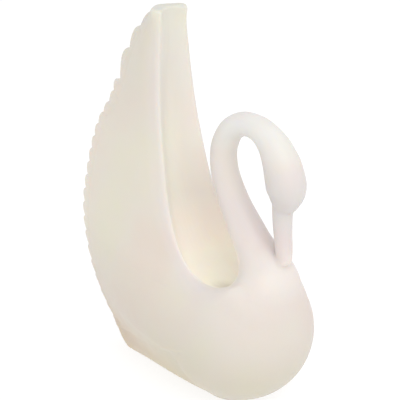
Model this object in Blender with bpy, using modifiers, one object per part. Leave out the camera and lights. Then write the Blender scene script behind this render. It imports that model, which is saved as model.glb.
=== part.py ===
"""A swan with raised wings and its bill on its breast, cast in one piece with a flat underside.

The swan faces +X and is alike on both sides of the XZ plane. Its height is in metres, and the
pose and the carving are shares of that height: a level is a height above the underside, and
ahead is a distance along X from a point just behind the middle of the swan's length.
"""

import math

import bmesh
import bpy
from mathutils import Matrix, Vector

# The overall size and the material
HEIGHT = 0.400
MIDDLE_AHEAD = 0.0027
IVORY = (0.86, 0.80, 0.69, 1.0)
ROUGHNESS = 0.45

# The breast is a ball that the flat underside cuts, and a smaller ball fills the chest up to the neck
BREAST_AHEAD = 0.212
BREAST_LEVEL = 0.186
BREAST_RADIUS = 0.192
CHEST_AHEAD = 0.242
CHEST_LEVEL = 0.242
CHEST_RADIUS = 0.155

# Rear line of the closed wings, as (level, distance behind the middle), from the tail up
REAR_LINE = ((0.000, 0.210), (0.036, 0.257), (0.115, 0.324), (0.212, 0.373),
             (0.350, 0.399), (0.475, 0.381), (0.628, 0.331), (0.760, 0.245),
             (0.866, 0.199), (0.931, 0.157), (0.972, 0.118), (1.000, 0.095))
REAR_LINE_STEP = 0.01

# Thickness of the rear edge, which swells into the tail below
EDGE_THICKNESS = 0.015
TAIL_THICKNESS = 0.064
TAIL_TOP = 0.036
TAIL_SWELL_TOP = 0.072

# The rear edge is bevelled by these shares of half its thickness, along X and Y
EDGE_BEVEL = (0.15, 0.7)

# Rounded feather tips stand out from the rear line, small ones below and three long ones above
SMALL_TIPS = 19
LONG_TIPS = 3
LONG_TIPS_START = 0.770
LONG_TIPS_END = 0.978
LONG_TIP_GROWTH = 1.28
LONG_TIP_DEPTH = 0.21
SMALL_TIP_DEPTH = 0.25
SMALL_TIP_DEPTH_LEVEL = 0.5
TAIL_TIP_DEPTH = 0.16
TIP_PEAK = 0.5
TIP_FULLNESS = 0.7
SHELF_DEPTH = 0.012
SHELF_RISE = 0.07

# Where a wing's side turns inwards, as (level, ahead, half width), and how far the turn reaches
# along X and Y
WING_FRONT = ((0.305, 0.212, 0.152), (0.370, 0.088, 0.121), (0.478, 0.001, 0.106),
              (0.615, -0.038, 0.090), (0.800, -0.066, 0.075), (1.000, -0.070, 0.057))
FRONT_ROUNDING = (0.055, 0.034)

# Where the curve of a wing's side would be widest if the front edge didn't end it, as (level, ahead)
SIDE_CREST = ((0.305, 0.212), (0.370, 0.190), (0.478, 0.125),
              (0.615, 0.050), (0.800, -0.015), (1.000, -0.035))

# The lower hem of each wing stands proud of the hull, and rises towards the breast
HEM_START = 0.045
HEM_SLOPE = 0.27
HEM_STEP = 0.004
HEM_FADE = 0.03

# Low down the hull is slimmer than the breast ball, and it widens again at the underside
BILGE_SLIMNESS = 0.09
BILGE_HEIGHT = 0.15
KEEL_WIDENING = 0.012
KEEL_HEIGHT = 0.05

# The trough between the wings, as (ahead, level, radius) along its middle
TROUGH = ((0.175, 0.275, 0.030), (0.173, 0.292, 0.068), (0.167, 0.325, 0.098), (0.150, 0.375, 0.115),
          (0.108, 0.478, 0.121), (0.062, 0.615, 0.108), (0.034, 0.800, 0.095), (0.029, 1.050, 0.080))

# How wide the trough is for its depth, as (level, share)
TROUGH_WIDTH = ((0.325, 0.97), (0.375, 0.90), (0.478, 0.82), (0.615, 0.77), (0.800, 0.75), (1.050, 0.75))

# A round scoop lowers the back around the neck: (ahead, level), and half sizes along X, Y and Z
SCOOP = (0.215, 0.447)
SCOOP_HALF = (0.125, 0.170, 0.150)

# Neck, head and bill, as (ahead, level, radius) along their middle
NECK = ((0.285, 0.200, 0.070), (0.290, 0.270, 0.080), (0.300, 0.320, 0.084), (0.303, 0.345, 0.080),
        (0.296, 0.375, 0.070), (0.262, 0.418, 0.054), (0.221, 0.475, 0.0455), (0.176, 0.545, 0.039),
        (0.146, 0.630, 0.0355), (0.156, 0.692, 0.034), (0.196, 0.736, 0.0315), (0.254, 0.745, 0.032),
        (0.306, 0.721, 0.038), (0.339, 0.680, 0.046), (0.356, 0.638, 0.0505), (0.363, 0.602, 0.0495),
        (0.359, 0.573, 0.038), (0.353, 0.553, 0.028), (0.353, 0.500, 0.0245), (0.358, 0.450, 0.0225),
        (0.362, 0.405, 0.020))

# Below this level the neck widens sideways by this share, over this depth
NECK_ROOT_LEVEL = 0.40
NECK_ROOT_WIDENING = 0.2
NECK_ROOT_DEPTH = 0.08

# Where neck, wings and breast flow into each other, as (ahead, level, reach). Each round of
# softening works on a smaller region than the one before, down to this share less at the last
BLENDS = ((0.215, 0.335, 0.130), (0.335, 0.285, 0.110),
          (0.300, 0.260, 0.140), (0.195, 0.285, 0.180))
BLEND_ROUNDS = 45
BLEND_NARROWING = 0.4

# The front edges of the wings are rounded off within this reach, between these levels
RIM_LEVELS = (0.33, 0.93)
RIM_AHEAD = 0.044
RIM_INSET = 0.018
RIM_POINTS = 40
RIM_REACH = 0.055
RIM_ROUNDS = 60

# Fineness of the shapes, of the fused form and of the finished faces
BALL_SIDES = 96
TUBE_SIDES = 64
TUBE_STEPS = 8
SECTION_COUNT = 250
SIDE_POINTS = 18
FRONT_POINTS = 6
FUSING_GRAIN = 0.0050
SMOOTHING_ROUNDS = 1
FACE_SHARE = 0.052
MERGE_DISTANCE = 0.0001


def smooth_value(points, at, column=1):
    """Read a smooth curve through points that are sorted by their first number."""
    last = len(points) - 1
    at = min(max(at, points[0][0]), points[last][0])
    index = 0
    while index < last - 1 and at > points[index + 1][0]:
        index += 1
    start, end = points[index], points[index + 1]
    before, after = points[max(index - 1, 0)], points[min(index + 2, last)]
    span = end[0] - start[0]
    start_slope = (end[column] - before[column]) / (end[0] - before[0])
    end_slope = (after[column] - start[column]) / (after[0] - start[0])
    t = (at - start[0]) / span
    return ((2 * t**3 - 3 * t**2 + 1) * start[column] + (t**3 - 2 * t**2 + t) * span * start_slope
            + (3 * t**2 - 2 * t**3) * end[column] + (t**3 - t**2) * span * end_slope)


def ease(value):
    """Rise softly from 0 to 1."""
    value = min(max(value, 0.0), 1.0)
    return value * value * (3.0 - 2.0 * value)


def rear_length(low, high):
    """Length of the rear line between two levels."""
    steps = max(2, round((high - low) / REAR_LINE_STEP))
    rise = (high - low) / steps
    total = 0.0
    for step in range(steps):
        lower = smooth_value(REAR_LINE, low + rise * step)
        upper = smooth_value(REAR_LINE, low + rise * (step + 1))
        total += math.hypot(rise, upper - lower)
    return total


def feather_tips(low, high, count, growth):
    """The tips between two levels from the top down, as (distance below the top, length)."""
    weights = [growth**index for index in range(count)]
    total = rear_length(low, high)
    tips = []
    below = 0.0
    for weight in weights:
        length = total * weight / sum(weights)
        tips.append((below, length))
        below += length
    return tips


LONG_ROW = feather_tips(LONG_TIPS_START, LONG_TIPS_END, LONG_TIPS, LONG_TIP_GROWTH)
SMALL_ROW = feather_tips(TAIL_TOP, LONG_TIPS_START, SMALL_TIPS, 1.0)


def tip_reach(level):
    """How far the feather tip at this level stands out from the rear line."""
    if level < TAIL_TOP or level > LONG_TIPS_END:
        return 0.0
    if level > LONG_TIPS_START:
        row, top, depth, shelf = LONG_ROW, LONG_TIPS_END, LONG_TIP_DEPTH, 0.0
    else:
        row, top = SMALL_ROW, LONG_TIPS_START
        growth = ease(level / SMALL_TIP_DEPTH_LEVEL)
        depth = TAIL_TIP_DEPTH + (SMALL_TIP_DEPTH - TAIL_TIP_DEPTH) * growth
        shelf = SHELF_DEPTH * ease(1.0 + (level - LONG_TIPS_START) / SHELF_RISE)
    below_top = rear_length(level, top)
    start, length = max(tip for tip in row if tip[0] <= below_top)
    phase = min((below_top - start) / length, 1.0)
    return shelf + length * depth * math.sin(math.pi * phase**TIP_PEAK) ** TIP_FULLNESS


def widest_point(level):
    """The front edge of a wing, or of the hull below it, as (ahead, half width)."""
    if level > WING_FRONT[0][0]:
        return smooth_value(WING_FRONT, level), smooth_value(WING_FRONT, level, 2)
    half = math.sqrt(BREAST_RADIUS**2 - (level - BREAST_LEVEL) ** 2)
    half *= 1.0 - BILGE_SLIMNESS * math.sin(math.pi * min(level / BILGE_HEIGHT, 1.0))
    return BREAST_AHEAD, half + KEEL_WIDENING * ease(1.0 - level / KEEL_HEIGHT)


def hem_recess(ahead, level):
    """How far the hull lies behind the wing's surface below the hem."""
    hem = HEM_START + HEM_SLOPE * (ahead + smooth_value(REAR_LINE, TAIL_TOP))
    return HEM_STEP * ease((hem - level) / HEM_STEP) * ease((BREAST_AHEAD - ahead) / HEM_FADE)


def half_section(level):
    """One side of a level section of wings and hull, from the rear edge to the middle of the front."""
    rear = -smooth_value(REAR_LINE, level)
    tip = rear - tip_reach(level)
    front, half = widest_point(level)
    crest = max(smooth_value(SIDE_CREST, level), front)
    swell = ease(1.0 - level / TAIL_SWELL_TOP)
    edge = 0.5 * (EDGE_THICKNESS + (TAIL_THICKNESS - EDGE_THICKNESS) * swell)
    quarter = 0.5 * math.pi
    crest_rise = (half - edge) / math.sin(quarter * (front - rear) / (crest - rear))
    points = [(tip, 0.0), (tip + EDGE_BEVEL[0] * edge, EDGE_BEVEL[1] * edge)]
    start = rear + 0.5 * edge
    for index in range(SIDE_POINTS + 1):
        ahead = start + (front - start) * index / SIDE_POINTS
        rise = crest_rise * math.sin(quarter * (ahead - rear) / (crest - rear))
        points.append((ahead, edge + rise - hem_recess(ahead, level)))
    for index in range(1, FRONT_POINTS + 1):
        turn = quarter * index / FRONT_POINTS
        ahead = front + FRONT_ROUNDING[0] * math.sin(turn)
        points.append((ahead, half - FRONT_ROUNDING[1] * (1.0 - math.cos(turn))))
    points.append((front + FRONT_ROUNDING[0], 0.0))
    return points


def as_object(name, bm):
    """Close a shape's mesh and make it an object."""
    bmesh.ops.remove_doubles(bm, verts=bm.verts, dist=MERGE_DISTANCE)
    bmesh.ops.recalc_face_normals(bm, faces=bm.faces)
    mesh = bpy.data.meshes.new(name)
    bm.to_mesh(mesh)
    bm.free()
    return bpy.data.objects.new(name, mesh)


def wings_and_hull():
    """A loft of level sections from the underside to the wing tips."""
    bm = bmesh.new()
    rings = []
    for index in range(SECTION_COUNT + 1):
        level = index / SECTION_COUNT
        half = half_section(level)
        outline = half + [(ahead, -across) for ahead, across in half[-2:0:-1]]
        corners = [Vector((ahead, across, level)) * HEIGHT for ahead, across in outline]
        rings.append([bm.verts.new(corner) for corner in corners])
    for lower, upper in zip(rings, rings[1:]):
        for index in range(len(lower)):
            after = (index + 1) % len(lower)
            bm.faces.new((lower[after], lower[index], upper[index], upper[after]))
    bm.faces.new(rings[0])
    bm.faces.new(reversed(rings[-1]))
    return as_object("wings_and_hull", bm)


def ball(name, ahead, level, halves):
    """An ellipsoid in the middle plane, with its half sizes along X, Y and Z."""
    bm = bmesh.new()
    place = Matrix.Translation((ahead * HEIGHT, 0.0, level * HEIGHT))
    place = place @ Matrix.Diagonal([half * HEIGHT for half in halves] + [1.0])
    bmesh.ops.create_uvsphere(
        bm, u_segments=BALL_SIDES, v_segments=BALL_SIDES // 2, radius=1.0, matrix=place)
    return as_object(name, bm)


def tapered_tube(name, stations):
    """A round tube through stations of (ahead, level, radius)."""
    data = bpy.data.curves.new(name, "CURVE")
    data.dimensions = "3D"
    data.bevel_depth = HEIGHT
    data.bevel_resolution = TUBE_SIDES // 4 - 2
    data.use_fill_caps = True
    data.resolution_u = TUBE_STEPS
    spline = data.splines.new("BEZIER")
    spline.radius_interpolation = "CARDINAL"
    spline.bezier_points.add(len(stations) - 1)
    for point, (ahead, level, radius) in zip(spline.bezier_points, stations):
        point.co = (ahead * HEIGHT, 0.0, level * HEIGHT)
        point.radius = radius
        point.handle_left_type = "AUTO"
        point.handle_right_type = "AUTO"
    guide = bpy.data.objects.new(name + "_curve", data)
    bpy.context.scene.collection.objects.link(guide)
    bpy.context.view_layer.update()
    graph = bpy.context.evaluated_depsgraph_get()
    mesh = bpy.data.meshes.new_from_object(guide.evaluated_get(graph))
    bpy.data.objects.remove(guide)
    bm = bmesh.new()
    bm.from_mesh(mesh)
    bpy.data.meshes.remove(mesh)
    return as_object(name, bm)


def narrow(trough):
    """Leave the front edges of the wings thick and round beside the trough."""
    for vert in trough.data.vertices:
        vert.co.y *= smooth_value(TROUGH_WIDTH, vert.co.z / HEIGHT)


def widen_root(neck):
    """Make the neck wider than it is deep where it grows out of the breast."""
    for vert in neck.data.vertices:
        depth = NECK_ROOT_LEVEL - vert.co.z / HEIGHT
        vert.co.y *= 1.0 + NECK_ROOT_WIDENING * ease(depth / NECK_ROOT_DEPTH)


def ground():
    """A block under the swan, whose top is the level of the flat underside."""
    bm = bmesh.new()
    place = Matrix.Translation((0.0, 0.0, -0.5 * HEIGHT))
    place = place @ Matrix.Diagonal((2.0 * HEIGHT, HEIGHT, HEIGHT, 1.0))
    bmesh.ops.create_cube(bm, size=1.0, matrix=place)
    return as_object("ground", bm)


def combine(target, other, operation):
    """Add a Boolean with another solid to the target."""
    modifier = target.modifiers.new(other.name, "BOOLEAN")
    modifier.operation = operation
    modifier.object = other
    modifier.solver = "EXACT"


def rim_line():
    """Points along the front edges of both wings."""
    low, high = RIM_LEVELS
    points = []
    for index in range(RIM_POINTS):
        level = low + (high - low) * index / (RIM_POINTS - 1)
        front, half = widest_point(level)
        points.append((front + RIM_AHEAD, half - RIM_INSET, level))
        points.append((front + RIM_AHEAD, RIM_INSET - half, level))
    return points


def soften(bm, centres, reach, rounds):
    """Smooth the surface near some points, over a region that narrows round by round."""
    centres = [Vector(centre) * HEIGHT for centre in centres]
    reach *= HEIGHT
    near = []
    for vert in bm.verts:
        distance = min((vert.co - centre).length for centre in centres)
        if distance < reach:
            near.append((vert, distance))
    for step in range(rounds):
        limit = reach * (1.0 - BLEND_NARROWING * step / rounds)
        chosen = [vert for vert, distance in near if distance < limit]
        bmesh.ops.smooth_vert(
            bm, verts=chosen, factor=0.5, use_axis_x=True, use_axis_y=True, use_axis_z=True)


def fused_form(shape):
    """Turn the joined shapes into one fine mesh, softened where they flow into each other."""
    remesh = shape.modifiers.new("blend", "REMESH")
    remesh.mode = "VOXEL"
    remesh.voxel_size = FUSING_GRAIN * HEIGHT
    bpy.context.view_layer.update()
    graph = bpy.context.evaluated_depsgraph_get()
    mesh = bpy.data.meshes.new_from_object(shape.evaluated_get(graph))
    bm = bmesh.new()
    bm.from_mesh(mesh)
    for ahead, level, reach in BLENDS:
        soften(bm, [(ahead, 0.0, level)], reach, BLEND_ROUNDS)
    soften(bm, rim_line(), RIM_REACH, RIM_ROUNDS)
    bm.to_mesh(mesh)
    bm.free()
    mesh.name = "swan"
    return mesh


def ivory():
    """Pale, satin cast material."""
    material = bpy.data.materials.new("ivory")
    material.use_nodes = True
    shader = material.node_tree.nodes["Principled BSDF"]
    shader.inputs["Base Color"].default_value = IVORY
    shader.inputs["Roughness"].default_value = ROUGHNESS
    shader.inputs["Metallic"].default_value = 0.0
    return material


def main():
    for old in list(bpy.data.objects):
        bpy.data.objects.remove(old)
    parts = bpy.data.collections.new("swan_statuette")
    cutters = bpy.data.collections.new("cutters")
    bpy.context.scene.collection.children.link(parts)
    bpy.context.scene.collection.children.link(cutters)

    shape = wings_and_hull()
    breast = ball("breast", BREAST_AHEAD, BREAST_LEVEL, [BREAST_RADIUS] * 3)
    chest = ball("chest", CHEST_AHEAD, CHEST_LEVEL, [CHEST_RADIUS] * 3)
    trough = tapered_tube("trough", TROUGH)
    scoop = ball("scoop", *SCOOP, SCOOP_HALF)
    neck = tapered_tube("neck", NECK)
    widen_root(neck)
    narrow(trough)
    floor = ground()
    for helper in (shape, breast, chest, trough, scoop, neck, floor):
        cutters.objects.link(helper)
        helper.hide_render = True
        helper.display_type = "WIRE"
    combine(shape, breast, "UNION")
    combine(shape, chest, "UNION")
    combine(shape, trough, "DIFFERENCE")
    combine(shape, scoop, "DIFFERENCE")
    combine(shape, neck, "UNION")

    swan = bpy.data.objects.new("swan", fused_form(shape))
    swan.data.transform(Matrix.Translation((-MIDDLE_AHEAD * HEIGHT, 0.0, 0.0)))
    swan.data.materials.clear()
    swan.data.materials.append(ivory())
    parts.objects.link(swan)
    even = swan.modifiers.new("even", "SMOOTH")
    even.factor = 0.5
    even.iterations = SMOOTHING_ROUNDS
    reduce = swan.modifiers.new("reduce", "DECIMATE")
    reduce.ratio = FACE_SHARE
    reduce.use_collapse_triangulate = True
    combine(swan, floor, "DIFFERENCE")
    swan.data.shade_smooth()


main()
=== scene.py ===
"""A pale ivory swan, cast in one piece, on a white studio floor.

The form repeats the solid's own dimensions at a finer grain, and adds the low relief of the
feathers. The front edges of the wings are softened more than in the solid, and to stay where they
are they start a little further ahead. Levels, distances ahead and radii are shares of the height,
as in the solid, except where metres are named.
"""

import math

import bmesh
import bpy
import numpy as np
from mathutils import Matrix, Vector


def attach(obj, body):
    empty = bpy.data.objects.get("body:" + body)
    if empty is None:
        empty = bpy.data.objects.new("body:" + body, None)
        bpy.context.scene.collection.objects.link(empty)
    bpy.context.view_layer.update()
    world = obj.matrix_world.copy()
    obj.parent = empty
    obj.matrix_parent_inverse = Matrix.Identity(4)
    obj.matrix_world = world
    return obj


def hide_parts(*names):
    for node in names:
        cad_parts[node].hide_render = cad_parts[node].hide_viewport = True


HEIGHT = 0.400

# How far the finished form moves back, which centres its box along X
MIDDLE_AHEAD = 0.0027

# The breast is a ball that the flat underside cuts. A smaller ball fills the chest up to the neck
BREAST_AHEAD = 0.212
BREAST_LEVEL = 0.186
BREAST_RADIUS = 0.192
CHEST_AHEAD = 0.242
CHEST_LEVEL = 0.242
CHEST_RADIUS = 0.155

# Rear line of the closed wings, as (level, distance behind the middle), from the tail up. Its
# length is measured in steps of this much level
REAR_LINE = ((0.000, 0.210), (0.036, 0.257), (0.115, 0.324), (0.212, 0.373),
             (0.350, 0.399), (0.475, 0.381), (0.628, 0.331), (0.760, 0.245),
             (0.866, 0.199), (0.931, 0.157), (0.972, 0.118), (1.000, 0.095))
REAR_LINE_STEP = 0.01

# Thickness of the rear edge, which swells into the tail below
EDGE_THICKNESS = 0.015
TAIL_THICKNESS = 0.064
TAIL_TOP = 0.036
TAIL_SWELL_TOP = 0.072

# The rear edge is bevelled by these shares of half its thickness, along X and Y, and the side of
# a wing starts this share of it ahead of the rear line
EDGE_BEVEL = (0.15, 0.7)
SIDE_START = 0.5

# Rounded feather tips stand out from the rear line, small ones below and three long ones above.
# Each long one is this many times as long as the one above it. The depths are shares of the
# lengths, and the small ones get shallower towards the tail
SMALL_TIPS = 19
LONG_TIPS = 3
LONG_TIPS_START = 0.770
LONG_TIPS_END = 0.978
LONG_TIP_GROWTH = 1.28
LONG_TIP_DEPTH = 0.21
SMALL_TIP_DEPTH = 0.25
SMALL_TIP_DEPTH_LEVEL = 0.5
TAIL_TIP_DEPTH = 0.16

# A tip's outline is a half wave: the first power moves its peak, the second makes it fuller
TIP_PEAK = 0.5
TIP_FULLNESS = 0.7

# Right below the long tips, the small ones stand on a shelf that fades out downwards
SHELF_DEPTH = 0.012
SHELF_RISE = 0.07

# Where a wing's side turns inwards, as (level, ahead, half width), and how far the turn reaches
# along X and Y
WING_FRONT = ((0.305, 0.212, 0.152), (0.370, 0.093, 0.121), (0.478, 0.007, 0.106),
              (0.615, -0.030, 0.090), (0.800, -0.058, 0.075), (1.000, -0.063, 0.057))
FRONT_ROUNDING = (0.055, 0.034)

# Where a wing's side would be widest if it didn't turn inwards before, as (level, ahead)
SIDE_CREST = ((0.305, 0.212), (0.370, 0.190), (0.478, 0.125),
              (0.615, 0.050), (0.800, -0.015), (1.000, -0.035))

# The lower hem of each wing stands proud of the hull by a step, rises towards the breast, and
# fades out beside it
HEM_START = 0.045
HEM_SLOPE = 0.27
HEM_STEP = 0.004
HEM_FADE = 0.03

# Low down the hull is slimmer than the breast ball, and it widens again at the underside
BILGE_SLIMNESS = 0.09
BILGE_HEIGHT = 0.15
KEEL_WIDENING = 0.012
KEEL_HEIGHT = 0.05

# The trough between the wings, as (ahead, level, radius) along its middle
TROUGH = ((0.175, 0.275, 0.030), (0.173, 0.292, 0.068), (0.167, 0.325, 0.098),
          (0.150, 0.375, 0.115), (0.108, 0.478, 0.121), (0.062, 0.615, 0.108),
          (0.034, 0.800, 0.095), (0.029, 1.050, 0.080))

# How wide the trough is for its depth, as (level, share)
TROUGH_WIDTH = ((0.325, 0.97), (0.375, 0.90), (0.478, 0.82),
                (0.615, 0.77), (0.800, 0.75), (1.050, 0.75))

# A round scoop lowers the back around the neck: (ahead, level), and half sizes along X, Y and Z
SCOOP = (0.215, 0.447)
SCOOP_HALF = (0.125, 0.170, 0.150)

# Neck, head and bill, as (ahead, level, radius) along their middle
NECK = ((0.285, 0.200, 0.070), (0.290, 0.270, 0.080), (0.300, 0.320, 0.084),
        (0.303, 0.345, 0.080), (0.296, 0.375, 0.070), (0.262, 0.418, 0.054),
        (0.221, 0.475, 0.0455), (0.176, 0.545, 0.039), (0.146, 0.630, 0.0355),
        (0.156, 0.692, 0.034), (0.196, 0.736, 0.0315), (0.254, 0.745, 0.032),
        (0.306, 0.721, 0.038), (0.339, 0.680, 0.046), (0.356, 0.638, 0.0505),
        (0.363, 0.602, 0.0495), (0.359, 0.573, 0.038), (0.353, 0.553, 0.028),
        (0.353, 0.500, 0.0245), (0.358, 0.450, 0.0225), (0.362, 0.405, 0.020))

# Below this level the neck widens sideways by this share, over this depth
NECK_ROOT_LEVEL = 0.40
NECK_ROOT_WIDENING = 0.2
NECK_ROOT_DEPTH = 0.08

# Where neck, wings and breast flow into each other, as (ahead, level, reach)
BLENDS = ((0.215, 0.335, 0.130), (0.335, 0.285, 0.110),
          (0.300, 0.260, 0.140), (0.195, 0.285, 0.180))
BLEND_ROUNDS = 45

# The front edges of the wings are rounded off within this reach of a line along each, which lies
# this far ahead of and inside the turn, between these levels
RIM_LEVELS = (0.33, 0.93)
RIM_AHEAD = 0.040
RIM_INSET = 0.026
RIM_POINTS = 40
RIM_REACH = 0.075
RIM_ROUNDS = 140

# The end of the bill is rounded off, as (ahead, level)
BILL_END = (0.362, 0.412)
BILL_REACH = 0.032
BILL_ROUNDS = 10

# Each round works on a smaller region than the one before, down to this share less at the last.
# Rounds are counted at the solid's grain, and a finer grain needs more for the same softness
SOFTENING_NARROWING = 0.4
SOLID_GRAIN = 0.0050

# Fineness of the shapes, of the fused form and of the finished faces. Corners closer together
# than the last of these, in metres, are merged
BALL_SIDES = 160
TUBE_SIDES = 48
TUBE_STEPS = 12
SECTION_COUNT = 500
SIDE_POINTS = 28
FRONT_POINTS = 8
FUSING_GRAIN = 0.0032
FACE_LIMIT = 190000
SMOOTHING_ROUNDS = 2
MERGE_DISTANCE = 0.0001

# Low relief of the feather tips: a crease inside the rear edge, which fades out towards the tail
# and the wing tips, and slanting grooves between the tips, cut off at this many widths
CREASE_INSET = 0.030
CREASE_WIDTH = 0.0075
CREASE_DEPTH = 0.0012
CREASE_TAIL_FADE = 0.03
CREASE_TOP_FADE = 0.05
GROOVE_WIDTH = 0.0055
GROOVE_DEPTH = 0.0018
GROOVE_FADE = 0.022
GROOVE_SLANT = 0.25
GROOVE_EXTENT = 4.0

# Faint rows of feathers above the hem. They spread apart towards the breast, each ends in a step,
# and they run this far both ways from a place ahead of the tail
ROW_SPACING = 0.024
ROW_SPREAD = 0.8
ROW_DEPTH = 0.0010
ROW_STEP = 0.008
ROW_COUNT = 2
ROW_MIDDLE = 0.06
ROW_REACH = 0.26

# The relief cuts in at most this share of half the swan's thickness
RELIEF_SHARE = 0.45

# How many levels the rear line is read at for the relief, and points per station along a tube
LEVEL_SAMPLES = 2001
SPINE_POINTS = 40

# Farther than any corner lies from any place on the swan, in metres
FAR = 1.0

# The ivory's own colour on the flanks, then the colours painted over it, in this order. Shoulder,
# trough, the inner walls of the front edges and the crown carry painted light, the front edges and
# the lower head painted shade, and the thin edges and tips painted light coming through them. The
# low hull and the base get darker and browner towards the bottom
FLANK_TINT = (0.750, 0.702, 0.618)
TINTS = (("breast", (0.715, 0.674, 0.628)), ("painted_shoulder_highlight", (0.764, 0.724, 0.684)),
         ("low", (0.628, 0.572, 0.498)), ("base", (0.640, 0.560, 0.445)),
         ("trough", (0.790, 0.750, 0.672)), ("rim", (0.685, 0.652, 0.638)),
         ("painted_wall_light", (0.800, 0.780, 0.730)), ("neck", (0.714, 0.655, 0.645)),
         ("painted_crown_light", (0.750, 0.730, 0.743)), ("painted_head_shade", (0.648, 0.622, 0.605)),
         ("edge", (0.720, 0.705, 0.670)))
TINT_SPREAD = 25

# Distances in metres within which a tint lies, and over which it fades out
NECK_SKIN = (0.006, 0.006)
TROUGH_SKIN = (0.005, 0.004)
RIM_SKIN = (0.026, 0.020)
EDGE_SKIN = (0.006, 0.006)

# Levels and distances ahead at which a tint starts or ends, and over which it fades. A limit
# that stands alone is sharp, and only the spreading softens it
NECK_FROM_LEVEL = (0.38, 0.15)
TROUGH_FROM_LEVEL = 0.28
EDGE_TO_AHEAD = -0.1
TIP_FROM_LEVEL = (0.97, 0.02)
BREAST_FROM_AHEAD = (0.12, 0.12)
LOW_TO_LEVEL = (0.34, 0.24)
LOW_LOSS_ON_BREAST = 0.2
BASE_TO_LEVEL = (0.15, 0.10)
BASE_TO_AHEAD = (0.24, 0.18)
SHOULDER_FROM_LEVEL = (0.30, 0.07)
SHOULDER_TO_LEVEL = (0.48, 0.07)
SHOULDER_FROM_AHEAD = (0.05, 0.08)
CROWN_FROM_LEVEL = (0.66, 0.08)
HEAD_FROM_AHEAD = (0.30, 0.03)
HEAD_TO_LEVEL = (0.68, 0.06)

# The inner wall of a front edge starts where the surface still faces outwards by this much
WALL_SLOPE = 0.2

# Painted light: the bottom of the trough is lighter by this share. Painted shade: towards the top
# the whole of the wings is darker by a share, and the trough by another
DEEP_PAINTED_LIGHT = 0.20
DEEP_TO_LEVEL = (0.50, 0.15)
WING_SHADE = 0.05
WING_SHADE_FROM_LEVEL = (0.62, 0.2)
TROUGH_SHADE = 0.05
TROUGH_SHADE_FROM_LEVEL = (0.55, 0.45)

# Scale and detail of the noise behind the clouds of colour, the gloss, and the two bumps
CLOUD_NOISE = (9.0, 3.0)
GLOSS_NOISE = (60.0, 4.0)
GRAIN_NOISE = (240.0, 5.0, 0.6)
SWELL_NOISE = (22.0, 2.0)

# Colours that the clouds multiply the tint by, roughness from and to, and the bumps as
# (strength, height in metres)
CLOUD_COLOURS = ((0.32, (1.0, 0.950, 0.950)), (0.50, (0.990, 0.985, 0.975)),
                 (0.68, (0.980, 1.0, 0.930)))
IVORY_ROUGHNESS = (0.36, 0.52)
GRAIN_BUMP = (0.25, 0.0004)
SWELL_BUMP = (0.3, 0.0025)

# How the ivory lets light through, and how it shines
SUBSURFACE_WEIGHT = 0.45
SUBSURFACE_RADIUS = (1.0, 0.72, 0.45)
SUBSURFACE_SCALE = 0.012
IVORY_IOR = 1.49
IVORY_SHINE = 0.3

# White floor that glows by itself, so that only a soft shadow shows on it
FLOOR_HALF_SIZE = 6.0
FLOOR_GREY = 0.30
FLOOR_GLOW = 0.76
FLOOR_ROUGHNESS = 0.9
FLOOR_SHINE = 0.1

# White surroundings, and two round lights as (name, place, diameter, watts), aimed at one point
WORLD_STRENGTH = 0.85
LIGHTS = (("key", (1.25, -0.6, 1.45), 1.5, 13.0), ("fill", (-0.9, -1.5, 0.9), 1.6, 0.5))
LIGHT_AIM = (0.0, 0.0, 0.2)

# Camera, as azimuth and elevation in degrees, distance, target and half width of the view there
CAMERA_AZIMUTH = 45.0
CAMERA_ELEVATION = 20.0
CAMERA_DISTANCE = 1.7
CAMERA_TARGET = (0.0229, 0.0, 0.2003)
CAMERA_HALF_WIDTH = 0.210
CAMERA_SENSOR = 36.0
CAMERA_CLIP = (0.05, 50.0)


def smooth_value(points, at, column=1):
    """Read a smooth curve through points that are sorted by their first number."""
    last = len(points) - 1
    at = min(max(at, points[0][0]), points[last][0])
    index = 0
    while index < last - 1 and at > points[index + 1][0]:
        index += 1
    start, end = points[index], points[index + 1]
    before, after = points[max(index - 1, 0)], points[min(index + 2, last)]
    span = end[0] - start[0]
    start_slope = (end[column] - before[column]) / (end[0] - before[0])
    end_slope = (after[column] - start[column]) / (after[0] - start[0])
    t = (at - start[0]) / span
    return ((2 * t**3 - 3 * t**2 + 1) * start[column] + (t**3 - 2 * t**2 + t) * span * start_slope
            + (3 * t**2 - 2 * t**3) * end[column] + (t**3 - t**2) * span * end_slope)


def ease(value):
    """Rise softly from 0 to 1."""
    value = min(max(value, 0.0), 1.0)
    return value * value * (3.0 - 2.0 * value)


def fade_in(values, start, reach):
    """Rise evenly from 0 at the start to 1."""
    return np.clip((values - start) / reach, 0.0, 1.0)


def fade_out(values, end, reach):
    """Fall evenly from 1 to 0 at the end."""
    return np.clip((end - values) / reach, 0.0, 1.0)


def rear_length(low, high):
    """Length of the rear line between two levels."""
    steps = max(2, round((high - low) / REAR_LINE_STEP))
    rise = (high - low) / steps
    total = 0.0
    for step in range(steps):
        lower = smooth_value(REAR_LINE, low + rise * step)
        upper = smooth_value(REAR_LINE, low + rise * (step + 1))
        total += math.hypot(rise, upper - lower)
    return total


def feather_tips(low, high, count, growth):
    """The tips between two levels from the top down, as (distance below the top, length)."""
    weights = [growth**index for index in range(count)]
    total = rear_length(low, high)
    tips = []
    below = 0.0
    for weight in weights:
        length = total * weight / sum(weights)
        tips.append((below, length))
        below += length
    return tips


LONG_ROW = feather_tips(LONG_TIPS_START, LONG_TIPS_END, LONG_TIPS, LONG_TIP_GROWTH)
SMALL_ROW = feather_tips(TAIL_TOP, LONG_TIPS_START, SMALL_TIPS, 1.0)


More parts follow.
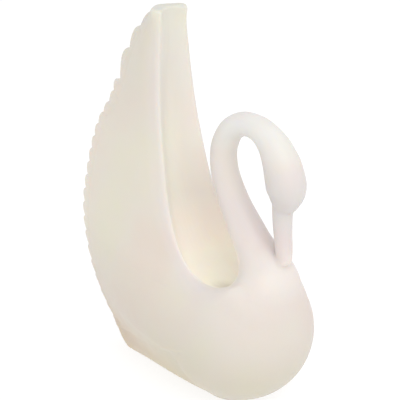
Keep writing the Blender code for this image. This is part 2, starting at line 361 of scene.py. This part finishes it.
def tip_reach(level):
    """How far the feather tip at this level stands out from the rear line."""
    if level < TAIL_TOP or level > LONG_TIPS_END:
        return 0.0
    if level > LONG_TIPS_START:
        row, top, depth, shelf = LONG_ROW, LONG_TIPS_END, LONG_TIP_DEPTH, 0.0
    else:
        row, top = SMALL_ROW, LONG_TIPS_START
        growth = ease(level / SMALL_TIP_DEPTH_LEVEL)
        depth = TAIL_TIP_DEPTH + (SMALL_TIP_DEPTH - TAIL_TIP_DEPTH) * growth
        shelf = SHELF_DEPTH * ease(1.0 + (level - LONG_TIPS_START) / SHELF_RISE)
    below_top = rear_length(level, top)
    start, length = max(tip for tip in row if tip[0] <= below_top)
    phase = min((below_top - start) / length, 1.0)
    return shelf + length * depth * math.sin(math.pi * phase**TIP_PEAK) ** TIP_FULLNESS


def widest_point(level):
    """Where the side of a wing, or of the hull below it, turns inwards, as (ahead, half width)."""
    if level > WING_FRONT[0][0]:
        return smooth_value(WING_FRONT, level), smooth_value(WING_FRONT, level, 2)
    half = math.sqrt(BREAST_RADIUS**2 - (level - BREAST_LEVEL) ** 2)
    half *= 1.0 - BILGE_SLIMNESS * math.sin(math.pi * min(level / BILGE_HEIGHT, 1.0))
    return BREAST_AHEAD, half + KEEL_WIDENING * ease(1.0 - level / KEEL_HEIGHT)


def hem_level(ahead):
    """Level of the hem, which starts at the tail."""
    return HEM_START + HEM_SLOPE * (ahead + smooth_value(REAR_LINE, TAIL_TOP))


def hem_recess(ahead, level):
    """How far the hull lies behind the wing's surface below the hem."""
    below = ease((hem_level(ahead) - level) / HEM_STEP)
    return HEM_STEP * below * ease((BREAST_AHEAD - ahead) / HEM_FADE)


def half_section(level):
    """One side of a level section of wings and hull, from the rear to the middle of the front."""
    rear = -smooth_value(REAR_LINE, level)
    tip = rear - tip_reach(level)
    front, half = widest_point(level)
    crest = max(smooth_value(SIDE_CREST, level), front)
    swell = ease(1.0 - level / TAIL_SWELL_TOP)
    edge = 0.5 * (EDGE_THICKNESS + (TAIL_THICKNESS - EDGE_THICKNESS) * swell)
    quarter = 0.5 * math.pi
    crest_rise = (half - edge) / math.sin(quarter * (front - rear) / (crest - rear))
    points = [(tip, 0.0), (tip + EDGE_BEVEL[0] * edge, EDGE_BEVEL[1] * edge)]
    start = rear + SIDE_START * edge
    for index in range(SIDE_POINTS + 1):
        ahead = start + (front - start) * index / SIDE_POINTS
        rise = crest_rise * math.sin(quarter * (ahead - rear) / (crest - rear))
        points.append((ahead, edge + rise - hem_recess(ahead, level)))
    for index in range(1, FRONT_POINTS + 1):
        turn = quarter * index / FRONT_POINTS
        ahead = front + FRONT_ROUNDING[0] * math.sin(turn)
        points.append((ahead, half - FRONT_ROUNDING[1] * (1.0 - math.cos(turn))))
    points.append((front + FRONT_ROUNDING[0], 0.0))
    return points


def place_in_scene(name, data):
    """Make an object of some data and link it."""
    placed = bpy.data.objects.new(name, data)
    bpy.context.scene.collection.objects.link(placed)
    return placed


def evaluated_mesh(source):
    """A new mesh of an object as its modifiers or its bevel leave it."""
    bpy.context.view_layer.update()
    graph = bpy.context.evaluated_depsgraph_get()
    return bpy.data.meshes.new_from_object(source.evaluated_get(graph))


def as_object(name, bm):
    """Close a shape's mesh and make it an object."""
    bmesh.ops.remove_doubles(bm, verts=bm.verts, dist=MERGE_DISTANCE)
    bmesh.ops.recalc_face_normals(bm, faces=bm.faces)
    mesh = bpy.data.meshes.new(name)
    bm.to_mesh(mesh)
    bm.free()
    return place_in_scene(name, mesh)


def wings_and_hull():
    """A loft of level sections from the underside to the wing tips."""
    bm = bmesh.new()
    rings = []
    for index in range(SECTION_COUNT + 1):
        level = index / SECTION_COUNT
        half = half_section(level)
        outline = half + [(ahead, -across) for ahead, across in half[-2:0:-1]]
        corners = [Vector((ahead, across, level)) * HEIGHT for ahead, across in outline]
        rings.append([bm.verts.new(corner) for corner in corners])
    for lower, upper in zip(rings, rings[1:]):
        for index in range(len(lower)):
            after = (index + 1) % len(lower)
            bm.faces.new((lower[after], lower[index], upper[index], upper[after]))
    bm.faces.new(rings[0])
    bm.faces.new(reversed(rings[-1]))
    return as_object("wings_and_hull", bm)


def ball(name, ahead, level, halves):
    """An ellipsoid in the middle plane, with its half sizes along X, Y and Z."""
    bm = bmesh.new()
    place = Matrix.Translation((ahead * HEIGHT, 0.0, level * HEIGHT))
    place = place @ Matrix.Diagonal([half * HEIGHT for half in halves] + [1.0])
    bmesh.ops.create_uvsphere(
        bm, u_segments=BALL_SIDES, v_segments=BALL_SIDES // 2, radius=1.0, matrix=place)
    return as_object(name, bm)


def tapered_tube(name, stations):
    """A round tube through stations of (ahead, level, radius)."""
    data = bpy.data.curves.new(name, "CURVE")
    data.dimensions = "3D"
    data.bevel_depth = HEIGHT
    data.bevel_resolution = TUBE_SIDES // 2 - 2
    data.use_fill_caps = True
    data.resolution_u = TUBE_STEPS
    spline = data.splines.new("BEZIER")
    spline.radius_interpolation = "CARDINAL"
    spline.bezier_points.add(len(stations) - 1)
    for point, (ahead, level, radius) in zip(spline.bezier_points, stations):
        point.co = (ahead * HEIGHT, 0.0, level * HEIGHT)
        point.radius = radius
        point.handle_left_type = "AUTO"
        point.handle_right_type = "AUTO"
    guide = place_in_scene(name + "_curve", data)
    mesh = evaluated_mesh(guide)
    bpy.data.objects.remove(guide)
    bm = bmesh.new()
    bm.from_mesh(mesh)
    bpy.data.meshes.remove(mesh)
    return as_object(name, bm)


def narrow(trough):
    """Leave the front edges of the wings thick and round beside the trough."""
    for vert in trough.data.vertices:
        vert.co.y *= smooth_value(TROUGH_WIDTH, vert.co.z / HEIGHT)


def widen_root(neck):
    """Make the neck wider than it is deep where it grows out of the breast."""
    for vert in neck.data.vertices:
        depth = NECK_ROOT_LEVEL - vert.co.z / HEIGHT
        vert.co.y *= 1.0 + NECK_ROOT_WIDENING * ease(depth / NECK_ROOT_DEPTH)


def combine(target, other, operation):
    """Add a Boolean with another solid to the target."""
    modifier = target.modifiers.new(other.name, "BOOLEAN")
    modifier.operation = operation
    modifier.object = other
    modifier.solver = "EXACT"


def mesh_arrays(mesh):
    """Corner positions and edges of a mesh as arrays."""
    places = np.empty(len(mesh.vertices) * 3)
    mesh.vertices.foreach_get("co", places)
    edges = np.empty(len(mesh.edges) * 2, dtype=np.int64)
    mesh.edges.foreach_get("vertices", edges)
    return places.reshape(-1, 3), edges.reshape(-1, 2)


def relax(places, edges, rounds):
    """Move all corners halfway to the middle of their neighbours, some rounds over."""
    count = len(places)
    share = np.bincount(edges.ravel(), minlength=count)[:, None]
    sums = np.empty((count, 3))
    for _ in range(rounds):
        for axis in range(3):
            sums[:, axis] = np.bincount(edges[:, 0], places[edges[:, 1], axis], count)
            sums[:, axis] += np.bincount(edges[:, 1], places[edges[:, 0], axis], count)
        places += 0.5 * (sums / share - places)


def relax_within(places, edges, chosen):
    """Move the chosen corners halfway to the middle of their neighbours."""
    ends = chosen[edges]
    pairs = np.concatenate((edges[ends[:, 0]], edges[ends[:, 1]][:, ::-1]))
    used, place = np.unique(pairs[:, 0], return_inverse=True)
    share = np.bincount(place)
    target = np.stack([np.bincount(place, places[pairs[:, 1], axis]) for axis in range(3)], axis=1)
    places[used] += 0.5 * (target / share[:, None] - places[used])


def nearest(places, centres):
    """Distance in metres from each corner to the nearest of some points."""
    distance = np.full(len(places), FAR)
    for centre in centres:
        away = np.linalg.norm(places - np.array(centre) * HEIGHT, axis=1)
        distance = np.minimum(distance, away)
    return distance


def soften(places, edges, centres, reach, rounds):
    """Smooth the surface near some points, over a region that narrows round by round."""
    distance = nearest(places, centres)
    local = edges[(distance[edges] < reach * HEIGHT).any(axis=1)]
    rounds = round(rounds * (SOLID_GRAIN / FUSING_GRAIN) ** 2)
    for step in range(rounds):
        limit = reach * HEIGHT * (1.0 - SOFTENING_NARROWING * step / rounds)
        relax_within(places, local, distance < limit)


def rim_line():
    """Points along the front edges of both wings."""
    low, high = RIM_LEVELS
    points = []
    for index in range(RIM_POINTS):
        level = low + (high - low) * index / (RIM_POINTS - 1)
        front, half = widest_point(level)
        points.append((front + RIM_AHEAD, half - RIM_INSET, level))
        points.append((front + RIM_AHEAD, RIM_INSET - half, level))
    return points


def feather_relief(places):
    """How deep crease and grooves cut in at each corner, as a share of the height."""
    levels = np.linspace(0.0, 1.0, LEVEL_SAMPLES)
    rear_table = np.array([-smooth_value(REAR_LINE, level) for level in levels])
    run = np.concatenate(([0.0], np.cumsum(np.hypot(np.diff(levels), np.diff(rear_table)))))
    level = np.clip(places[:, 2] / HEIGHT, 0.0, 1.0)
    rear = np.interp(level, levels, rear_table)
    slope = np.interp(level, levels, np.gradient(rear_table, levels))
    inset = (places[:, 0] / HEIGHT - rear) / np.sqrt(1.0 + slope**2)

    depth = CREASE_DEPTH * np.exp(-(((inset - CREASE_INSET) / CREASE_WIDTH) ** 2))
    depth *= (fade_in(level, TAIL_TOP, CREASE_TAIL_FADE)
              * fade_out(level, LONG_TIPS_END, CREASE_TOP_FADE))

    here = np.interp(level, levels, run)
    inward = np.clip(1.0 - np.maximum(inset, 0.0) / (CREASE_INSET + GROOVE_FADE), 0.0, 1.0)
    for row, top in ((SMALL_ROW, LONG_TIPS_START), (LONG_ROW, LONG_TIPS_END)):
        top_run = np.interp(top, levels, run)
        for start, _ in row:
            notch = top_run - start
            across = (here - notch + GROOVE_SLANT * inset) / GROOVE_WIDTH
            near = np.abs(across) < GROOVE_EXTENT
            depth[near] += GROOVE_DEPTH * np.exp(-across[near] ** 2) * inward[near]
    return depth


def hem_rows(places):
    """How deep the feather rows above the hem cut in at each corner, as a share of the height."""
    level = places[:, 2] / HEIGHT
    ahead = places[:, 0] / HEIGHT
    from_tail = ahead + smooth_value(REAR_LINE, TAIL_TOP)
    run = np.clip(1.0 - np.abs(from_tail - ROW_MIDDLE) / ROW_REACH, 0.0, 1.0)
    depth = np.zeros(len(places))
    for row in range(1, ROW_COUNT + 1):
        above = level - hem_level(ahead) - ROW_SPACING * row * (1.0 + ROW_SPREAD * from_tail)
        step = np.clip(0.5 - above / ROW_STEP, 0.0, 1.0)
        slope = np.clip(1.0 + above / ROW_SPACING, 0.0, 1.0)
        depth += ROW_DEPTH * step * slope * run / row**0.5
    return depth


def fused_form():
    """The shapes of the swan, joined into one fine mesh."""
    shape = wings_and_hull()
    breast = ball("breast", BREAST_AHEAD, BREAST_LEVEL, [BREAST_RADIUS] * 3)
    chest = ball("chest", CHEST_AHEAD, CHEST_LEVEL, [CHEST_RADIUS] * 3)
    trough = tapered_tube("trough", TROUGH)
    scoop = ball("scoop", *SCOOP, SCOOP_HALF)
    neck = tapered_tube("neck", NECK)
    widen_root(neck)
    narrow(trough)
    combine(shape, breast, "UNION")
    combine(shape, chest, "UNION")
    combine(shape, trough, "DIFFERENCE")
    combine(shape, scoop, "DIFFERENCE")
    combine(shape, neck, "UNION")
    remesh = shape.modifiers.new("blend", "REMESH")
    remesh.mode = "VOXEL"
    remesh.voxel_size = FUSING_GRAIN * HEIGHT
    mesh = evaluated_mesh(shape)
    for helper in (shape, breast, chest, trough, scoop, neck):
        bpy.data.objects.remove(helper)
    return mesh


def carve(mesh):
    """Soften the joined shapes, cut the relief into them and centre the swan along X."""
    places, edges = mesh_arrays(mesh)
    for ahead, level, reach in BLENDS:
        soften(places, edges, [(ahead, 0.0, level)], reach, BLEND_ROUNDS)
    soften(places, edges, rim_line(), RIM_REACH, RIM_ROUNDS)
    soften(places, edges, [(BILL_END[0], 0.0, BILL_END[1])], BILL_REACH, BILL_ROUNDS)
    relax(places, edges, SMOOTHING_ROUNDS)
    depth = (feather_relief(places) + hem_rows(places)) * HEIGHT
    depth = np.minimum(depth, RELIEF_SHARE * np.abs(places[:, 1]))
    places[:, 1] -= np.sign(places[:, 1]) * depth
    places[:, 0] -= MIDDLE_AHEAD * HEIGHT
    mesh.vertices.foreach_set("co", places.ravel())
    mesh.update()


def with_fewer_faces(mesh):
    """A copy of the mesh that stays below the limit of triangles."""
    rough_form = place_in_scene("rough_form", mesh)
    reduce = rough_form.modifiers.new("reduce", "DECIMATE")
    reduce.ratio = min(1.0, FACE_LIMIT / (2.0 * len(mesh.polygons)))
    reduce.use_collapse_triangulate = True
    finished = evaluated_mesh(rough_form)
    bpy.data.objects.remove(rough_form)
    return finished


def flat_underside(mesh):
    """Cut the swan off level at the underside and close it."""
    bm = bmesh.new()
    bm.from_mesh(mesh)
    everything = list(bm.verts) + list(bm.edges) + list(bm.faces)
    cut = bmesh.ops.bisect_plane(
        bm, geom=everything, plane_co=(0.0, 0.0, 0.0), plane_no=(0.0, 0.0, 1.0), clear_inner=True)
    rim = [part for part in cut["geom_cut"] if isinstance(part, bmesh.types.BMEdge)]
    bmesh.ops.holes_fill(bm, edges=rim, sides=0)
    bmesh.ops.triangulate(bm, faces=[face for face in bm.faces if len(face.verts) > 4])
    bm.to_mesh(mesh)
    bm.free()


def spine(stations):
    """Close points along the middle of a tube, with its radius at each, in metres."""
    steps = np.linspace(0.0, len(stations) - 1.0, SPINE_POINTS * len(stations))
    columns = np.array(stations).T
    ahead, level, radius = (np.interp(steps, range(len(stations)), column) for column in columns)
    points = np.stack((ahead - MIDDLE_AHEAD, np.zeros(len(steps)), level), axis=1)
    return points * HEIGHT, radius * HEIGHT


def outside_tube(places, stations):
    """How far each corner lies outside a tube, in metres."""
    points, radii = spine(stations)
    best = np.full(len(places), FAR)
    for point, radius in zip(points, radii):
        best = np.minimum(best, np.linalg.norm(places - point, axis=1) - radius)
    return best


def spread(values, edges, rounds):
    """Smooth a number per corner over the surface."""
    share = np.maximum(np.bincount(edges.ravel(), minlength=len(values)), 1)
    for _ in range(rounds):
        sums = np.bincount(edges[:, 0], values[edges[:, 1]], len(values))
        sums += np.bincount(edges[:, 1], values[edges[:, 0]], len(values))
        values = 0.5 * (values + sums / share)
    return values


def facing_inwards(mesh, places):
    """How much each corner faces the middle plane, from 0 to 1."""
    normals = np.empty(3 * len(places), dtype=np.float32)
    mesh.vertex_normals.foreach_get("vector", normals)
    return np.clip(WALL_SLOPE - normals[1::3] * np.sign(places[:, 1]), 0.0, 1.0)


def tint_zones(mesh, places):
    """How much of each tint lies at each corner, from 0 to 1."""
    level = places[:, 2] / HEIGHT
    ahead = places[:, 0] / HEIGHT
    neck = fade_out(outside_tube(places, NECK), *NECK_SKIN)
    neck *= fade_in(level, *NECK_FROM_LEVEL)

    widths = [share for _, share in TROUGH_WIDTH]
    width = np.interp(level, [at for at, _ in TROUGH_WIDTH], widths)
    widened = places / np.stack((np.ones(len(places)), width, np.ones(len(places))), axis=1)
    trough = fade_out(outside_tube(widened, TROUGH), *TROUGH_SKIN)
    trough *= (level > TROUGH_FROM_LEVEL) * (1.0 - neck)

    inwards = facing_inwards(mesh, places)
    rim = fade_out(nearest(places, rim_line()), *RIM_SKIN)
    rear_edge = fade_out(np.abs(places[:, 1]), *EDGE_SKIN) * (ahead < EDGE_TO_AHEAD)
    breast = fade_in(ahead, *BREAST_FROM_AHEAD)
    painted_shoulder_highlight = fade_in(level, *SHOULDER_FROM_LEVEL) * fade_out(level, *SHOULDER_TO_LEVEL)
    painted_head_shade = neck * fade_in(ahead, *HEAD_FROM_AHEAD) * fade_out(level, *HEAD_TO_LEVEL)
    return {
        "breast": breast,
        # Painted highlight across the shoulders and the upper breast
        "painted_shoulder_highlight": painted_shoulder_highlight * fade_in(ahead, *SHOULDER_FROM_AHEAD),
        # The low hull and the base: darker and browner towards the bottom
        "low": fade_out(level, *LOW_TO_LEVEL) * (1.0 - LOW_LOSS_ON_BREAST * breast),
        "base": fade_out(level, *BASE_TO_LEVEL) * fade_out(ahead, *BASE_TO_AHEAD),
        # Painted light in the hollow between the wings, which is lighter and yellower
        "trough": trough,
        # Painted shade on the rounded front edges of the wings
        "rim": rim * (1.0 - inwards),
        # Painted light on the inner walls of the front edges
        "painted_wall_light": rim * inwards,
        "neck": neck,
        # Painted light on the top of the neck and head
        "painted_crown_light": neck * fade_in(level, *CROWN_FROM_LEVEL),
        # Painted shade on the lower head and the bill
        "painted_head_shade": painted_head_shade,
        # Painted light coming through the thin rear edges and the wing tips, greyer than the
        # flanks
        "edge": np.maximum(rear_edge, fade_in(level, *TIP_FROM_LEVEL)),
    }


def paint_tint(mesh):
    """Store the colour at each corner: the ivory's own colour, with painted light and shade over
    parts of it.
    """
    places, edges = mesh_arrays(mesh)
    zones = tint_zones(mesh, places)
    soft = {name: spread(zones[name], edges, TINT_SPREAD)[:, None] for name in zones}
    tint = np.tile(np.array(FLANK_TINT), (len(places), 1))
    for name, colour in TINTS:
        tint = tint * (1.0 - soft[name]) + np.array(colour) * soft[name]

    level = places[:, 2:] / HEIGHT
    off_neck = 1.0 - zones["neck"][:, None]
    # Painted light at the bottom of the trough, painted shade towards the top of the wings and
    # trough
    tint *= 1.0 + DEEP_PAINTED_LIGHT * (fade_out(level, *DEEP_TO_LEVEL) * soft["trough"])
    tint *= 1.0 - WING_SHADE * fade_in(level, *WING_SHADE_FROM_LEVEL) * off_neck
    tint *= 1.0 - TROUGH_SHADE * (fade_in(level, *TROUGH_SHADE_FROM_LEVEL) * soft["trough"])
    attribute = mesh.attributes.new("tint", "FLOAT_COLOR", "POINT")
    painted = np.concatenate((tint, np.ones((len(places), 1))), axis=1)
    attribute.data.foreach_set("color", painted.astype(np.float32).ravel())


def noise(tree, coords, scale, detail, roughness=0.5):
    """A noise over the object's own coordinates."""
    node = tree.nodes.new("ShaderNodeTexNoise")
    node.inputs["Scale"].default_value = scale
    node.inputs["Detail"].default_value = detail
    node.inputs["Roughness"].default_value = roughness
    tree.links.new(coords, node.inputs["Vector"])
    return node.outputs["Fac"]


def ramp(tree, value, stops):
    """Turn a value into a colour, by stops of (position, colour)."""
    node = tree.nodes.new("ShaderNodeValToRGB")
    while len(node.color_ramp.elements) < len(stops):
        node.color_ramp.elements.new(0.5)
    for element, (position, colour) in zip(node.color_ramp.elements, stops):
        element.position = position
        element.color = (*colour, 1.0)
    tree.links.new(value, node.inputs["Fac"])
    return node.outputs["Color"]


def bump(tree, value, strength, distance):
    """A bump by a value, to which another bump can be added."""
    node = tree.nodes.new("ShaderNodeBump")
    node.inputs["Strength"].default_value = strength
    node.inputs["Distance"].default_value = distance
    tree.links.new(value, node.inputs["Height"])
    return node


def ivory():
    """Pale cast ivory: satin, slightly cloudy, and tinted by the colour stored at each corner."""
    material = bpy.data.materials.new("ivory")
    material.use_nodes = True
    tree = material.node_tree
    shader = tree.nodes["Principled BSDF"]
    coords = tree.nodes.new("ShaderNodeTexCoord").outputs["Object"]

    tint = tree.nodes.new("ShaderNodeAttribute")
    tint.attribute_name = "tint"
    clouds = ramp(tree, noise(tree, coords, *CLOUD_NOISE), CLOUD_COLOURS)
    colour = tree.nodes.new("ShaderNodeMix")
    colour.data_type = "RGBA"
    colour.blend_type = "MULTIPLY"
    colour.inputs["Factor"].default_value = 1.0
    tree.links.new(tint.outputs["Color"], colour.inputs["A"])
    tree.links.new(clouds, colour.inputs["B"])
    tree.links.new(colour.outputs["Result"], shader.inputs["Base Color"])

    gloss = tree.nodes.new("ShaderNodeMapRange")
    gloss.inputs["To Min"].default_value, gloss.inputs["To Max"].default_value = IVORY_ROUGHNESS
    tree.links.new(noise(tree, coords, *GLOSS_NOISE), gloss.inputs["Value"])
    tree.links.new(gloss.outputs["Result"], shader.inputs["Roughness"])

    grain = bump(tree, noise(tree, coords, *GRAIN_NOISE), *GRAIN_BUMP)
    swell = bump(tree, noise(tree, coords, *SWELL_NOISE), *SWELL_BUMP)
    tree.links.new(swell.outputs["Normal"], grain.inputs["Normal"])
    tree.links.new(grain.outputs["Normal"], shader.inputs["Normal"])

    shader.inputs["Subsurface Weight"].default_value = SUBSURFACE_WEIGHT
    shader.inputs["Subsurface Radius"].default_value = SUBSURFACE_RADIUS
    shader.inputs["Subsurface Scale"].default_value = SUBSURFACE_SCALE
    shader.inputs["IOR"].default_value = IVORY_IOR
    shader.inputs["Specular IOR Level"].default_value = IVORY_SHINE
    return material


def floor_white():
    """Matt grey that glows white."""
    material = bpy.data.materials.new("floor")
    material.use_nodes = True
    shader = material.node_tree.nodes["Principled BSDF"]
    shader.inputs["Base Color"].default_value = (FLOOR_GREY, FLOOR_GREY, FLOOR_GREY, 1.0)
    shader.inputs["Roughness"].default_value = FLOOR_ROUGHNESS
    shader.inputs["Specular IOR Level"].default_value = FLOOR_SHINE
    shader.inputs["Emission Color"].default_value = (1.0, 1.0, 1.0, 1.0)
    shader.inputs["Emission Strength"].default_value = FLOOR_GLOW
    return material


def soft_light(name, place, size, power):
    """A round light that shines at the swan's middle."""
    data = bpy.data.lights.new(name, "AREA")
    data.shape = "DISK"
    data.size = size
    data.energy = power
    light = place_in_scene(name, data)
    light.location = place
    light.rotation_mode = "QUATERNION"
    light.rotation_quaternion = (Vector(place) - Vector(LIGHT_AIM)).to_track_quat("Z", "Y")


def studio():
    """A wide floor, white surroundings and the two lights."""
    bm = bmesh.new()
    bmesh.ops.create_grid(bm, x_segments=4, y_segments=4, size=FLOOR_HALF_SIZE)
    mesh = bpy.data.meshes.new("floor")
    bm.to_mesh(mesh)
    bm.free()
    mesh.materials.append(floor_white())
    place_in_scene("floor", mesh)

    world = bpy.data.worlds.new("studio")
    world.use_nodes = True
    background = world.node_tree.nodes["Background"]
    background.inputs["Color"].default_value = (1.0, 1.0, 1.0, 1.0)
    background.inputs["Strength"].default_value = WORLD_STRENGTH
    bpy.context.scene.world = world
    for light in LIGHTS:
        soft_light(*light)


def camera():
    """The camera, on a sphere around its target."""
    azimuth = math.radians(CAMERA_AZIMUTH)
    elevation = math.radians(CAMERA_ELEVATION)
    back = Vector((math.sin(azimuth) * math.cos(elevation),
                   -math.cos(azimuth) * math.cos(elevation),
                   math.sin(elevation)))
    data = bpy.data.cameras.new("camera")
    data.sensor_width = CAMERA_SENSOR
    data.lens = 0.5 * CAMERA_SENSOR * CAMERA_DISTANCE / CAMERA_HALF_WIDTH
    data.clip_start, data.clip_end = CAMERA_CLIP
    view = place_in_scene("camera", data)
    view.location = Vector(CAMERA_TARGET) + CAMERA_DISTANCE * back
    view.rotation_mode = "QUATERNION"
    view.rotation_quaternion = back.to_track_quat("Z", "Y")
    bpy.context.scene.camera = view


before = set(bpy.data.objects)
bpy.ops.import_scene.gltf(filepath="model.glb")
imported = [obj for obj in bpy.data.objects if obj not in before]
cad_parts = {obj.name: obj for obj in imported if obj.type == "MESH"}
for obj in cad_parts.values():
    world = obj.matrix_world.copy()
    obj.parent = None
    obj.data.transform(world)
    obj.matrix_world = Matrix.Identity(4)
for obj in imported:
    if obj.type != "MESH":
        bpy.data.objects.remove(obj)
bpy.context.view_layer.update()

fine_form = fused_form()
carve(fine_form)
finished = with_fewer_faces(fine_form)
flat_underside(finished)
paint_tint(finished)
finished.materials.clear()
finished.materials.append(ivory())
finished.shade_smooth()
finished.name = "ivory_swan"
swan = place_in_scene("ivory_swan", finished)
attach(swan, "root")
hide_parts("swan")

studio()
camera()
bpy.context.scene.view_settings.view_transform = "Standard"
